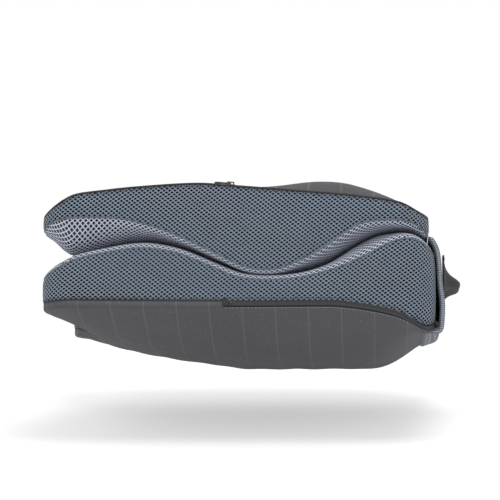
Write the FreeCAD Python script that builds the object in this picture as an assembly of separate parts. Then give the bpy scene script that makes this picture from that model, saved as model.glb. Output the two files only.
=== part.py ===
"""Two-pad folding lumbar support cushion, folded shut. Millimetres, +Z up.

X runs along the length, with the hinge end at +X and the notched free end at -X. Y is the depth and
Z the height. The origin is the centre of the flat patch that the lower pad's belly rests on.
"""
import FreeCAD, Part
import math
import os

Vector = FreeCAD.Vector

# Plan outline, the same for both pads except for where the hinge end stops
HALF_DEPTH = 170.0
LOWER_END = 159.5
UPPER_END = 153.0
HINGE_CORNER = 38.0
TIP = -236.0
TIP_CORNER = 36.0
LOBE_RADIUS = 57.0
LOBE_Y = HALF_DEPTH - TIP_CORNER
NOTCH_DEPTH = 45.0
NOTCH_RADIUS = (NOTCH_DEPTH ** 2 + LOBE_Y ** 2) / (2 * NOTCH_DEPTH) - LOBE_RADIUS
NOTCH_X = TIP + NOTCH_DEPTH - NOTCH_RADIUS
NOTCH_HALF_ANGLE = math.asin(LOBE_Y / (LOBE_RADIUS + NOTCH_RADIUS))

# Cloth and foam build-up
FACE_CLOTH = 4.6
FACE_ROLL = 4.0
FACE_ROLL_WIDTH = 45.0
DOME_FADE = 70.0
GUSSET = 5.0
LINER_INSET = 5.2
LINER = 0.8
FOAM_INSET = 6.2
BASE_CLOTH = 2.4
TOP_CLOTH = 2.0
LIP = 0.9
LIP_THICKNESS = 0.5
LIP_OVERLAP = 0.4
LAYER_GAP = 0.2
SEAM_GAP = 0.8
GUSSET_DROP = 1.4
COIL_ROOM = 1.6
PIPING_OUT = -2.0
PIPING_IN = -0.2
PIPING_HALF = 1.2

# Zips
ZIP_BAND = 9.0
LEDGE = 9.5
LOWER_TAPES = (2.6, 4.9, 6.3, 8.6)
LOWER_COIL = (4.1, 7.1)
UPPER_TAPES = (0.3, 5.8, 7.2, 9.3)
UPPER_COIL = (5.2, 8.0)
LOWER_ZIP_START = -50.0
UPPER_ZIP_START = -58.0
TAPE = 0.6
TAB_LENGTH = 6.0
STOP_LENGTH = 2.0
ZIP_MIDDLE = 5.6
LOWER_PARK_Y = -126.0
UPPER_PARK_X = -45.0
UPPER_PARK_INSET = 6.5
NECK_AHEAD = 3.4

# Hinge side: spine panel and carry handle
SPINE_HALF_WIDTH = 140.0
SPINE = 3.0
FLANGE_INNER = 148.5
FLANGE_OUTER = 166.5
WEBBING = 2.0
WEBBING_LOW = 67.0
WEBBING_HIGH = 105.0
HANDLE_REACH = 187.0
GRIP_HALF = 40.0
LEG_END = 78.0
SEWN_END = 95.0
SEWN_X = 167.8

# Side profiles, as (x, z) points
LOWER_SEAM = [(-236, 76), (-215, 87.5), (-200, 94.5), (-175, 100), (-135, 105.5), (-105, 102),
              (-65, 87), (-35, 75), (-10, 72.5), (15, 73.5), (55, 82), (95, 99), (115, 109.5),
              (132, 114), (145, 110.5), (159.5, 96)]
LOWER_FACE = [(-236, 81), (-215, 92), (-200, 98.5), (-165, 108.5), (-130, 113.5), (-95, 106.5),
              (-55, 90.5), (-20, 78.5), (5, 78), (45, 88), (85, 112), (105, 120.5), (125, 122.5),
              (140, 120), (153, 109), (159.5, 100)]
LOWER_RIM = [(-236, 45), (55, 45), (80, 42.5), (100, 39), (120, 33.5), (130, 28.8), (140, 22),
             (149, 12.5), (159.5, 7)]
LOWER_BELLY = [(-236, 44), (-208, 34), (-186, 26.5), (-152, 18), (-125, 12.5), (-95, 7.5), (-60, 2.5),
               (-38, -0.8), (90, -0.8), (105, 0.8), (125, 9.5), (137, 19), (149, 30), (159.5, 38)]
FAR_CORNER_LIFT = 36.0
LIFT_START = 115.0
UPPER_SEAM = [(-236, 122), (-226, 133), (-195, 136.5), (-165, 136), (-125, 127.5), (-95, 116),
              (-55, 97), (-25, 83.5), (-5, 82), (25, 92), (55, 108.5), (75, 123.5), (95, 131),
              (125, 132), (140, 127.5), (153, 118)]
UPPER_FACE = [(-236, 115), (-226, 105.5), (-214, 100.7), (-200, 100.8), (-185, 104.6),
              (-165, 110.2), (-130, 114.8), (-95, 107.8), (-55, 91.8), (-20, 79.8), (5, 79.3),
              (45, 89), (85, 113), (105, 121.5), (125, 123.6), (140, 121.8), (153, 119.5)]
UPPER_LEDGE = [(-236, 138), (-218, 151), (-200, 160.5), (-175, 163.5), (-145, 166.7), (-75, 170.4),
               (-55, 168.9), (0, 164.3), (60, 159.3), (85, 156.5), (125, 150), (140, 142), (153, 137)]
UPPER_DOME = [(-236, -3), (-226, 0), (-175, 15), (-105, 10), (-45, 9), (-15, 13), (45, 27),
              (65, 28), (85, 25), (125, 12), (143.5, 0), (153, -4)]
SPINE_PATH = [(158.5, 116.5), (162.5, 112), (165.3, 102), (166.8, 85), (167.4, 70), (169.5, 55),
              (169.5, 40), (168.5, 26), (167.5, 10)]

REACH = 300.0
LEDGE_SLOPE = math.degrees(math.atan2(5.0, 60.0))


def smooth(points):
    """A function of x through (x, z) points that never overshoots them."""
    xs = [p[0] for p in points]
    zs = [p[1] for p in points]
    slopes = [(zs[i + 1] - zs[i]) / (xs[i + 1] - xs[i]) for i in range(len(xs) - 1)]
    tangents = [slopes[0]]
    for a, b in zip(slopes, slopes[1:]):
        tangents.append(2 * a * b / (a + b) if a * b > 0 else 0.0)
    tangents.append(slopes[-1])

    def height(x):
        x = min(max(x, xs[0]), xs[-1])
        i = 0
        while i < len(xs) - 2 and x > xs[i + 1]:
            i += 1
        span = xs[i + 1] - xs[i]
        u = (x - xs[i]) / span
        start = (1 + 2 * u) * (1 - u) ** 2 * zs[i] + u * (1 - u) ** 2 * span * tangents[i]
        end = u * u * (3 - 2 * u) * zs[i + 1] + u * u * (u - 1) * span * tangents[i + 1]
        return start + end

    return height


lower_seam = smooth(LOWER_SEAM)
lower_face = smooth(LOWER_FACE)
lower_rim = smooth(LOWER_RIM)
lower_belly = smooth(LOWER_BELLY)
upper_seam = smooth(UPPER_SEAM)
upper_face = smooth(UPPER_FACE)
upper_ledge = smooth(UPPER_LEDGE)
upper_dome = smooth(UPPER_DOME)


# Plan outline and prisms standing on it

def outline(end, inset):
    """The pad's outline as a face, moved inward by inset: two lobes with a notch between them."""
    side = HALF_DEPTH - inset
    corner = HINGE_CORNER - inset
    corner_x = end - HINGE_CORNER
    corner_y = HALF_DEPTH - HINGE_CORNER
    tip_x = TIP + TIP_CORNER
    tip_radius = TIP_CORNER - inset
    lobe_x = TIP + LOBE_RADIUS
    lobe_radius = LOBE_RADIUS - inset
    notch_radius = NOTCH_RADIUS + inset

    def at(cx, cy, radius, degrees):
        angle = math.radians(degrees)
        return Vector(cx + radius * math.cos(angle), cy + radius * math.sin(angle), 0)

    def arc(cx, cy, radius, first, last):
        points = [at(cx, cy, radius, a) for a in (first, (first + last) / 2, last)]
        return Part.Arc(*points).toShape()

    swing = math.degrees(NOTCH_HALF_ANGLE)
    edges = [
        arc(corner_x, corner_y, corner, 0, 90),
        Part.LineSegment(Vector(corner_x, side, 0), Vector(tip_x, side, 0)).toShape(),
        arc(tip_x, LOBE_Y, tip_radius, 90, 180),
        arc(lobe_x, LOBE_Y, lobe_radius, 180, 180 + swing),
        arc(NOTCH_X, 0, notch_radius, swing, -swing),
        arc(lobe_x, -LOBE_Y, lobe_radius, 180 - swing, 180),
        arc(tip_x, -LOBE_Y, tip_radius, 180, 270),
        Part.LineSegment(Vector(tip_x, -side, 0), Vector(corner_x, -side, 0)).toShape(),
        arc(corner_x, -corner_y, corner, 270, 360),
        Part.LineSegment(Vector(end - inset, -corner_y, 0), Vector(end - inset, corner_y, 0)).toShape(),
    ]
    return Part.Face(Part.Wire(Part.__sortEdges__(edges)))


def column(end, inset):
    """A tall prism on the outline."""
    face = outline(end, inset)
    face.translate(Vector(0, 0, -REACH))
    return face.extrude(Vector(0, 0, 2 * REACH))


def ring(end, outer, inner):
    """A tall wall between two insets of the outline."""
    face = outline(end, outer).cut(outline(end, inner)).Faces[0]
    face.translate(Vector(0, 0, -REACH))
    return face.extrude(Vector(0, 0, 2 * REACH))


def block(x0, x1, y0, y1, z0, z1):
    return Part.makeBox(x1 - x0, y1 - y0, z1 - z0, Vector(x0, y0, z0))


def beyond(x):
    """Everything on the hinge side of x."""
    return block(x, REACH, -REACH, REACH, -REACH, REACH)


def before(x):
    """Everything on the free-end side of x."""
    return block(-REACH, x, -REACH, REACH, -REACH, REACH)


# Height surfaces

def edge_distance(x, y, end):
    """How far a point of the plan lies inside the outline."""
    y = abs(y)
    inside = min(HALF_DEPTH - y, end - x)
    corner_x = end - HINGE_CORNER
    corner_y = HALF_DEPTH - HINGE_CORNER
    if x > corner_x and y > corner_y:
        inside = min(inside, HINGE_CORNER - math.hypot(x - corner_x, y - corner_y))
    if y >= LOBE_Y:
        if x < TIP + TIP_CORNER:
            inside = min(inside, TIP_CORNER - math.hypot(x - TIP - TIP_CORNER, y - LOBE_Y))
    elif math.atan2(y, x - NOTCH_X) < NOTCH_HALF_ANGLE:
        inside = min(inside, math.hypot(x - NOTCH_X, y) - NOTCH_RADIUS)
    elif x < TIP + LOBE_RADIUS:
        inside = min(inside, LOBE_RADIUS - math.hypot(x - TIP - LOBE_RADIUS, LOBE_Y - y))
    return max(inside, 0.0)


def roll(x, y, end):
    """0 at the outline, rising to 1 where the pad's face has finished rolling over."""
    share = min(edge_distance(x, y, end) / FACE_ROLL_WIDTH, 1.0)
    return 1 - (1 - share) ** 3


def lower_face_height(x, y):
    edge = lower_seam(x) + FACE_ROLL
    return edge + (lower_face(x) - edge) * roll(x, y, LOWER_END)


def upper_face_height(x, y):
    edge = upper_seam(x) - FACE_ROLL
    return edge + (upper_face(x) - edge) * roll(x, y, UPPER_END)


def lower_base_height(x, y):
    """The near hinge corner droops, and the far one stands higher."""
    share = 1 - min(abs(y) / HALF_DEPTH, 1.0) ** 3
    towards_end = min(max(x - LIFT_START, 0.0) / (LOWER_END - LIFT_START), 1.0)
    rim = lower_rim(x) + FAR_CORNER_LIFT * towards_end ** 1.3 * (1 + y / HALF_DEPTH) / 2
    return rim + (lower_belly(x) - rim) * share


def upper_top_height(x, y):
    """The crown starts at the ledge's inner edge and falls away below the ledge outside it."""
    across = 1 - (abs(y) / (HALF_DEPTH - LEDGE)) ** 3
    past_notch = (math.hypot(x - NOTCH_X, y) - NOTCH_RADIUS - LEDGE) / DOME_FADE
    fade = 1 - (1 - min(past_notch, 1.0)) ** 3
    return upper_ledge(x) + upper_dome(x) * min(across, fade, across * fade)


def surface(height):
    """A B-spline face at height(x, y), a little larger than the pads."""
    columns = 41
    rows = 25
    xs = [-245 + 420 * i / (columns - 1) for i in range(columns)]
    ys = [-178 + 356 * j / (rows - 1) for j in range(rows)]
    sheet = Part.BSplineSurface()
    sheet.interpolate([[Vector(x, y, height(x, y)) for y in ys] for x in xs])
    return sheet.toShape()


def profile_face(profile):
    """A face at profile(x), level across the depth."""
    count = 61
    xs = [-245 + 420 * i / (count - 1) for i in range(count)]
    line = Part.BSplineCurve()
    line.interpolate([Vector(x, -REACH / 1.5, profile(x)) for x in xs])
    return line.toShape().extrude(Vector(0, REACH / 0.75, 0))


def height_on(face, x, y):
    """The height of a surface above a point of the plan."""
    line = Part.makeLine(Vector(x, y, -REACH), Vector(x, y, REACH))
    return face.section(line).Vertexes[0].Z


def raised(face, dz):
    copy = face.copy()
    copy.translate(Vector(0, 0, dz))
    return copy


def slab(face, low, high):
    """The space between a face raised by low and the same face raised by high."""
    return raised(face, low).extrude(Vector(0, 0, high - low))


def above(face, dz):
    return raised(face, dz).extrude(Vector(0, 0, REACH))


def below(face, dz):
    return raised(face, dz).extrude(Vector(0, 0, -REACH))


def keep(shape, *tools):
    for tool in tools:
        shape = shape.common(tool)
    return shape


def save(name, shape):
    solids = shape.Solids
    shape = solids[0] if len(solids) == 1 else Part.makeCompound(solids)
    if not shape.isValid():
        print("not valid:", name)
    shape.exportStep("parts/" + name + ".step")
    middle = sum((s.CenterOfMass * s.Volume for s in solids), Vector()) * (1 / shape.Volume)
    print(f"{name}: {len(solids)} solid, {shape.Volume / 1000:.1f} cm3, middle {middle.x:.0f} {middle.z:.0f}")


# The padded pieces

def make_lower_pad():
    face = surface(lower_face_height)
    base = surface(lower_base_height)
    seam = profile_face(lower_seam)
    table = block(-REACH, REACH, -REACH, REACH, 0, REACH)
    whole = column(LOWER_END, 0)

    save("lower_face_panel", keep(slab(face, -FACE_CLOTH, 0), whole))
    panel = keep(slab(base, 0, BASE_CLOTH), whole, table)
    lip = keep(slab(base, BASE_CLOTH, ZIP_BAND - 0.4), ring(LOWER_END, 0, 2), before(LOWER_ZIP_START))
    save("lower_base_panel", panel.fuse(lip))
    wall = ring(LOWER_END, 0, GUSSET)
    save("lower_side_gusset", keep(wall, above(base, ZIP_BAND - LAYER_GAP), below(seam, -GUSSET_DROP)))
    bottom = BASE_CLOTH + LAYER_GAP
    top = -FACE_CLOTH - LAYER_GAP
    liner = keep(column(LOWER_END, LINER_INSET), above(base, bottom), below(face, top))
    hollow = keep(column(LOWER_END, LINER_INSET + LINER), above(base, bottom + LINER),
                  below(face, top - LINER))
    save("lower_core_liner", liner.cut(hollow))
    foam = keep(column(LOWER_END, FOAM_INSET), above(base, bottom + LINER + LAYER_GAP),
                below(face, top - LINER - LAYER_GAP))
    save("lower_foam_core", foam)
    cord = ring(LOWER_END, PIPING_OUT, PIPING_IN)
    save("lower_face_piping", keep(cord, slab(seam, -PIPING_HALF, PIPING_HALF)))
    save("lower_base_piping", keep(cord, slab(base, ZIP_BAND - 1.2, ZIP_BAND + 1.0),
                                   before(LOWER_ZIP_START - 4.5)))
    make_lower_zip(base)
    make_spine(base)


def make_upper_pad():
    face = surface(upper_face_height)
    top = surface(upper_top_height)
    seam = profile_face(upper_seam)
    ledge = profile_face(upper_ledge)

    save("upper_face_panel", keep(slab(face, 0, FACE_CLOTH), column(UPPER_END, 0)))
    crown = keep(slab(top, -TOP_CLOTH, 0), column(UPPER_END, LEDGE))
    lip = keep(slab(ledge, -LIP, LIP_THICKNESS - LIP), ring(UPPER_END, 0, LEDGE + LIP_OVERLAP),
               before(UPPER_ZIP_START))
    save("upper_top_panel", crown.fuse(lip))
    wall = ring(UPPER_END, 0, GUSSET)
    bottom = FACE_CLOTH + LAYER_GAP
    save("upper_side_gusset", keep(wall, above(seam, SEAM_GAP), above(face, bottom),
                                   below(ledge, -LIP - LAYER_GAP / 2)))
    liner_top = -TOP_CLOTH - COIL_ROOM
    liner = keep(column(UPPER_END, LINER_INSET), above(face, bottom), below(top, liner_top))
    hollow = keep(column(UPPER_END, LINER_INSET + LINER), above(face, bottom + LINER),
                  below(top, liner_top - LINER))
    save("upper_core_liner", liner.cut(hollow))
    foam = keep(column(UPPER_END, FOAM_INSET), above(face, bottom + LINER + LAYER_GAP),
                below(top, liner_top - LINER - LAYER_GAP))
    save("upper_foam_core", foam)
    cord = ring(UPPER_END, PIPING_OUT, PIPING_IN)
    save("upper_face_piping", keep(cord, slab(seam, -PIPING_HALF, PIPING_HALF)))
    save("upper_top_piping", keep(cord, slab(ledge, -1.6, 0.6), before(UPPER_ZIP_START - 4.5)))
    make_upper_zip(ledge)


# The zips: tapes, coil, end stops, end tabs, slider and pull

def make_lower_zip(base):
    run = beyond(LOWER_ZIP_START)
    tape = keep(ring(LOWER_END, 0.2, 0.2 + TAPE), run)
    low, low_top, high, high_top = LOWER_TAPES
    save("lower_zip_tape_base", keep(tape, slab(base, low, low_top)))
    save("lower_zip_tape_gusset", keep(tape, slab(base, high, high_top)))
    save("lower_zip_coil", keep(ring(LOWER_END, 1.0, 2.4), slab(base, *LOWER_COIL), run))
    ends = ring(LOWER_END, -1.0, -0.1)
    tab_start = LOWER_ZIP_START - TAB_LENGTH / 2
    tabs = keep(ends, slab(base, 2.4, 8.8), beyond(tab_start), before(tab_start + TAB_LENGTH))
    save("lower_zip_end_tabs", tabs)
    stop_start = LOWER_ZIP_START + 5
    stops = keep(ends, slab(base, 4.3, 6.9), beyond(stop_start), before(stop_start + STOP_LENGTH))
    save("lower_zip_stops", stops)
    wall = LOWER_END - 0.2 - TAPE / 2
    park_z = height_on(base, wall, LOWER_PARK_Y + NECK_AHEAD) + ZIP_MIDDLE
    climb = height_on(base, wall, LOWER_PARK_Y + 8) - height_on(base, wall, LOWER_PARK_Y - 2)
    rise = math.atan2(climb, 10)
    park_z -= NECK_AHEAD * math.tan(rise)
    along = Vector(0, math.cos(rise), math.sin(rise))
    up = Vector(0, -math.sin(rise), math.cos(rise))
    place = FreeCAD.Placement(Vector(LOWER_END, LOWER_PARK_Y, park_z),
                              FreeCAD.Rotation(along, up, Vector(1, 0, 0)))
    print(f"lower slider parks at z {park_z:.3f}, climbing {math.degrees(rise):.2f} degrees")
    save("lower_zip_slider", placed(slider(0.8), place))
    save("lower_zip_pull", placed(pull(24.0, 2.2, 10.0), place))


def make_upper_zip(ledge):
    run = beyond(UPPER_ZIP_START)
    flat = slab(ledge, -0.2 - TAPE, -0.2)
    outer, outer_in, inner, inner_in = UPPER_TAPES
    save("upper_zip_tape_gusset", keep(ring(UPPER_END, outer, outer_in), flat, run))
    save("upper_zip_tape_top", keep(ring(UPPER_END, inner, inner_in), flat, run))
    save("upper_zip_coil", keep(ring(UPPER_END, *UPPER_COIL), slab(ledge, -2.4, -1.0), run))
    tab_start = UPPER_ZIP_START - TAB_LENGTH / 2
    tabs = keep(ring(UPPER_END, outer, inner_in), slab(ledge, 0.1, 1.0), beyond(tab_start),
                before(tab_start + TAB_LENGTH))
    save("upper_zip_end_tabs", tabs)
    stop_start = UPPER_ZIP_START + 3.5
    stops = keep(ring(UPPER_END, 5.4, 7.6), slab(ledge, -0.1, 0.7), beyond(stop_start),
                 before(stop_start + STOP_LENGTH))
    save("upper_zip_stops", stops)
    place = FreeCAD.Placement(Vector(UPPER_PARK_X, UPPER_PARK_INSET - HALF_DEPTH, upper_ledge(UPPER_PARK_X)),
                              FreeCAD.Rotation(Vector(0, 1, 0), LEDGE_SLOPE))
    save("upper_zip_slider", placed(slider(0.7), place))
    save("upper_zip_pull", placed(pull(13.0, 6.0, 0.0), place))


def placed(shape, place):
    copy = shape.copy()
    copy.Placement = place.multiply(copy.Placement)
    return copy


def slider(neck_width):
    """A zip slider lying along +X on its tape, which is the plane z = 0: plate, neck and bridge."""
    plate = block(-5, 5, -3.0, 3.0, 0.3, 1.3)
    corners = [e for e in plate.Edges if abs(e.Vertexes[0].Z - e.Vertexes[-1].Z) > 0.5]
    plate = plate.makeFillet(2.0, corners)
    neck = block(NECK_AHEAD - 0.8, NECK_AHEAD + 0.8, -neck_width / 2, neck_width / 2, -0.6, 0.6)
    bridge = block(-3.6, 3.6, -1.1, 1.1, 1.2, 4.2).cut(block(-2.4, 2.4, -2, 2, 1.3, 3.3))
    return plate.fuse([neck, bridge]).removeSplitter()


def pull(length, width, tilt):
    """A pull tab whose crossbar turns in the slider's bridge, lying back along -X."""
    bar = Part.makeCylinder(0.5, 5.6, Vector(0, -2.8, 2.3), Vector(0, 1, 0))
    arms = [block(-4.6, 0.4, y - 0.5, y + 0.5, 1.8, 2.8) for y in (-2.3, 2.3)]
    yoke = block(-6.2, -4.4, -2.8, 2.8, 1.8, 2.8)
    stem = block(-length, -6.0, -width / 2, width / 2, 1.8, 2.8)
    stem.rotate(Vector(-5.3, 0, 0), Vector(0, 0, 1), -tilt)
    head = Part.makeCylinder(width / 2, 1.0, Vector(-length, 0, 1.8), Vector(0, 0, 1))
    head.rotate(Vector(-5.3, 0, 0), Vector(0, 0, 1), -tilt)
    return bar.fuse(arms + [yoke, stem, head]).removeSplitter()


# Hinge side

def offset_path(points, distance):
    """The same path moved sideways by distance, towards the pads."""
    moved = []
    for i, (x, z) in enumerate(points):
        x0, z0 = points[max(i - 1, 0)]
        x1, z1 = points[min(i + 1, len(points) - 1)]
        length = math.hypot(x1 - x0, z1 - z0)
        moved.append((x + distance * (z1 - z0) / length, z - distance * (x1 - x0) / length))
    return moved


def make_spine(base):
    """The fabric panel that joins the pads: it follows the hinge end and turns in under the rim."""
    def spline(points):
        line = Part.BSplineCurve()
        line.interpolate([Vector(x, -SPINE_HALF_WIDTH, z) for x, z in points])
        return line.toShape()

    inside = offset_path(SPINE_PATH, SPINE)
    corners = [Vector(x, -SPINE_HALF_WIDTH, z) for x, z in
               (SPINE_PATH[0], inside[0], SPINE_PATH[-1], inside[-1])]
    section = Part.Wire(Part.__sortEdges__([
        spline(SPINE_PATH), spline(inside),
        Part.LineSegment(corners[0], corners[1]).toShape(),
        Part.LineSegment(corners[2], corners[3]).toShape()]))
    wall = Part.Face(section).extrude(Vector(0, 2 * SPINE_HALF_WIDTH, 0))
    drop = -SPINE - 0.4
    wall = keep(wall, above(base, drop))
    flange = keep(slab(base, drop, -0.4), block(FLANGE_INNER, FLANGE_OUTER, -SPINE_HALF_WIDTH,
                                                SPINE_HALF_WIDTH, 0, REACH))
    save("spine_panel", wall.fuse(flange).removeSplitter())
    make_handle()


def webbing(points):
    """Webbing standing on edge along a path of (x, y) points, mirrored about the middle."""
    outer = [Vector(x, y, WEBBING_LOW) for x, y in points]
    inner = [Vector(x - WEBBING, y, WEBBING_LOW) for x, y in reversed(points)]
    face = Part.Face(Part.makePolygon(outer + inner + outer[:1]))
    return face.extrude(Vector(0, 0, WEBBING_HIGH - WEBBING_LOW))


def make_handle():
    middle_x = (WEBBING_LOW + WEBBING_HIGH) / 2
    grip_x = HANDLE_REACH
    save("carry_handle", webbing([(grip_x, -GRIP_HALF), (grip_x, GRIP_HALF)]))
    sewn_x = SEWN_X + WEBBING
    gap = 0.4
    legs = [webbing([(grip_x, side * (GRIP_HALF + gap)), (sewn_x, side * (LEG_END - gap))])
            for side in (-1, 1)]
    save("handle_legs", Part.makeCompound(legs))
    ends = [webbing([(sewn_x, side * LEG_END), (sewn_x, side * SEWN_END)]) for side in (-1, 1)]
    save("handle_ends", Part.makeCompound(ends))
    tacks = []
    for side in (-1, 1):
        for z in (middle_x - 15, middle_x + 15):
            y = side * (LEG_END + SEWN_END) / 2
            tacks.append(block(sewn_x + 0.1, sewn_x + 0.9, y - 6, y + 6, z - 1.2, z + 1.2))
    save("handle_bartacks", Part.makeCompound(tacks))


os.makedirs("parts", exist_ok=True)
make_lower_pad()
make_upper_pad()
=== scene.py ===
"""Folding lumbar support cushion: its covers, zips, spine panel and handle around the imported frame.

Metres, in the frame of the CAD: +X towards the hinge end, +Y across the depth, +Z up.
"""
import math

import bmesh
import bpy
import numpy as np
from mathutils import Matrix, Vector
from mathutils.bvhtree import BVHTree


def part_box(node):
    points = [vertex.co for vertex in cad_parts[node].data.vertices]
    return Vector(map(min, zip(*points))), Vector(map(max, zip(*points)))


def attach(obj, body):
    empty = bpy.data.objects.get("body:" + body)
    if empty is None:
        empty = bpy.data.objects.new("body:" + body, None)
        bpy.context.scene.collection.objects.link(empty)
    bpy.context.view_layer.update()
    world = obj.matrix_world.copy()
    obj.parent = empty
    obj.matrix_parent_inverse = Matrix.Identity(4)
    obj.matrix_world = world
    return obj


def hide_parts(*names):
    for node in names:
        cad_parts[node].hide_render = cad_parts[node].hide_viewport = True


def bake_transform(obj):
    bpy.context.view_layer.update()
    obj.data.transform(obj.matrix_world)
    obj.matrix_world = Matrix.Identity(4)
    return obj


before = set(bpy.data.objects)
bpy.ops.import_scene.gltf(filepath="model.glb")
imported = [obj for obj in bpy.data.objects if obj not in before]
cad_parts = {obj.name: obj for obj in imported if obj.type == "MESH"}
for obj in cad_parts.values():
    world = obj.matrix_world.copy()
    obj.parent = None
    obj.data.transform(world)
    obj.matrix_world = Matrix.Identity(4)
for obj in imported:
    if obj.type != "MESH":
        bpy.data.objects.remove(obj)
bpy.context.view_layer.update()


# --------------------------------------------------------------------
# Side gussets: the deep band round each pad, of slate spacer mesh, sewn to the face panel on one seam
# and to the zipped cover on the other. The mesh is knitted in two layers, and the outer one is a
# lattice of strands round staggered slanted holes. Foam pushes it out between the seams.
# --------------------------------------------------------------------

HINGE_CORNER = 0.038
TIP_CORNER = 0.036
LOBE_RADIUS = 0.057
NOTCH_DEPTH = 0.045
LOOP_STEP = 0.0042


def cut_outline(node):
    """The outline of a pad's gusset seen from above, anticlockwise from the middle of the hinge end.

    Gives evenly spaced points, the outward direction at each, and the length along the seam.
    """
    low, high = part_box(node)
    end, tip, side = high[0], low[0], high[1]
    lobe_y = side - TIP_CORNER
    notch_radius = (NOTCH_DEPTH ** 2 + lobe_y ** 2) / (2 * NOTCH_DEPTH) - LOBE_RADIUS
    notch_x = tip + NOTCH_DEPTH - notch_radius
    swing = math.asin(lobe_y / (LOBE_RADIUS + notch_radius))
    corner = (end - HINGE_CORNER, side - HINGE_CORNER)
    points, outward = [], []

    def line(x0, y0, x1, y1):
        count = max(int(math.hypot(x1 - x0, y1 - y0) / 0.0005), 2)
        nx, ny = (y1 - y0), (x0 - x1)
        length = math.hypot(nx, ny)
        for i in range(count):
            points.append((x0 + (x1 - x0) * i / count, y0 + (y1 - y0) * i / count))
            outward.append((nx / length, ny / length))

    def arc(cx, cy, radius, first, last, facing=1):
        count = max(int(abs(last - first) * radius / 0.0005), 2)
        for i in range(count):
            angle = first + (last - first) * i / count
            points.append((cx + radius * math.cos(angle), cy + radius * math.sin(angle)))
            outward.append((facing * math.cos(angle), facing * math.sin(angle)))

    half = math.pi / 2
    line(end, 0, end, corner[1])
    arc(corner[0], corner[1], HINGE_CORNER, 0, half)
    line(corner[0], side, tip + TIP_CORNER, side)
    arc(tip + TIP_CORNER, lobe_y, TIP_CORNER, half, 2 * half)
    arc(tip + LOBE_RADIUS, lobe_y, LOBE_RADIUS, 2 * half, 2 * half + swing)
    arc(notch_x, 0, notch_radius, swing, -swing, -1)
    arc(tip + LOBE_RADIUS, -lobe_y, LOBE_RADIUS, 2 * half - swing, 2 * half)
    arc(tip + TIP_CORNER, -lobe_y, TIP_CORNER, 2 * half, 3 * half)
    line(tip + TIP_CORNER, -side, corner[0], -side)
    arc(corner[0], -corner[1], HINGE_CORNER, 3 * half, 4 * half)
    line(end, -corner[1], end, 0)
    points, outward = np.array(points), np.array(outward)
    steps = np.linalg.norm(np.roll(points, -1, axis=0) - points, axis=1)
    along = np.concatenate([[0], np.cumsum(steps)])
    count = int(along[-1] / LOOP_STEP)
    at = np.linspace(0, along[-1], count + 1)[:-1]
    index = np.searchsorted(along, at, side="right") - 1
    seam = np.append(at, along[-1])
    return points[index], outward[index], seam


def seam_heights(node, plan):
    """The lowest and highest point of a gusset all along its outline, a little inside its face."""
    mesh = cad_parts[node].data
    tree = BVHTree.FromPolygons([v.co.copy() for v in mesh.vertices],
                                [list(p.vertices) for p in mesh.polygons])
    inside = 0.0025
    found = []
    for (x, y), (nx, ny) in zip(plan[0], plan[1]):
        pair = []
        for side in (-1, 1):
            start = Vector((x - nx * inside, y - ny * inside, side * 1.0))
            pair.append(tree.ray_cast(start, Vector((0, 0, -side)))[0].z)
        found.append(pair)
    found = np.array(found)
    for _ in range(3):
        found = (np.roll(found, 1, axis=0) + 2 * found + np.roll(found, -1, axis=0)) / 4
    return found[:, 0], found[:, 1]


def sheet(name, points, flat):
    """Rows of points round a closed seam as a mesh of quads, with flat (cut) coordinates in metres."""
    rows, columns = points.shape[:2]
    faces, corners = [], []
    for r in range(rows - 1):
        for c in range(columns):
            d = (c + 1) % columns
            low, high = r * columns, (r + 1) * columns
            faces.append((low + c, low + d, high + d, high + c))
            corners += [flat[r, c], flat[r, c + 1], flat[r + 1, c + 1], flat[r + 1, c]]
    mesh = bpy.data.meshes.new(name)
    mesh.from_pydata([tuple(p) for p in points.reshape(-1, 3)], [], faces)
    layer = mesh.uv_layers.new(name="cut")
    layer.data.foreach_set("uv", np.array(corners, dtype=np.float32).ravel())
    mesh.shade_smooth()
    piece = bpy.data.objects.new(name, mesh)
    bpy.context.scene.collection.objects.link(piece)
    return piece


def close_cut(flat):
    """Repeats the first column of flat coordinates at the end, where both ends of the cut meet."""
    return np.concatenate([flat, flat[:, :1]], axis=1)


def blow_out(piece, free, pressure, cap):
    """Pressure from inside, with the seams held: free is 1 where a point may move and 0 at a seam."""
    mesh = piece.data
    rest = np.empty(len(mesh.vertices) * 3, dtype=np.float32)
    mesh.vertices.foreach_get("co", rest)
    group = piece.vertex_groups.new(name="sewn")
    for index, share in enumerate(free):
        group.add([index], 1.0 - float(share), "REPLACE")
    cloth = piece.modifiers.new("foam pressure", "CLOTH")
    cloth.settings.use_pressure = True
    cloth.settings.uniform_pressure_force = pressure
    cloth.settings.vertex_group_mass = "sewn"
    cloth.settings.tension_stiffness = 40
    cloth.settings.compression_stiffness = 20
    cloth.settings.bending_stiffness = 0.6
    cloth.settings.quality = 4
    cloth.settings.effector_weights.gravity = 0
    scene = bpy.context.scene
    for number in range(1, 13):
        scene.frame_set(number)
    moved = np.empty_like(rest)
    piece.evaluated_get(bpy.context.evaluated_depsgraph_get()).data.vertices.foreach_get("co", moved)
    piece.modifiers.remove(cloth)
    scene.frame_set(1)
    shift = (moved - rest).reshape(-1, 3)
    length = np.linalg.norm(shift, axis=1)
    limit = cap * np.tanh(length / cap) / np.maximum(length, 1e-9)
    mesh.vertices.foreach_set("co", (rest.reshape(-1, 3) + shift * limit[:, None]).ravel())
    mesh.update()


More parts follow.
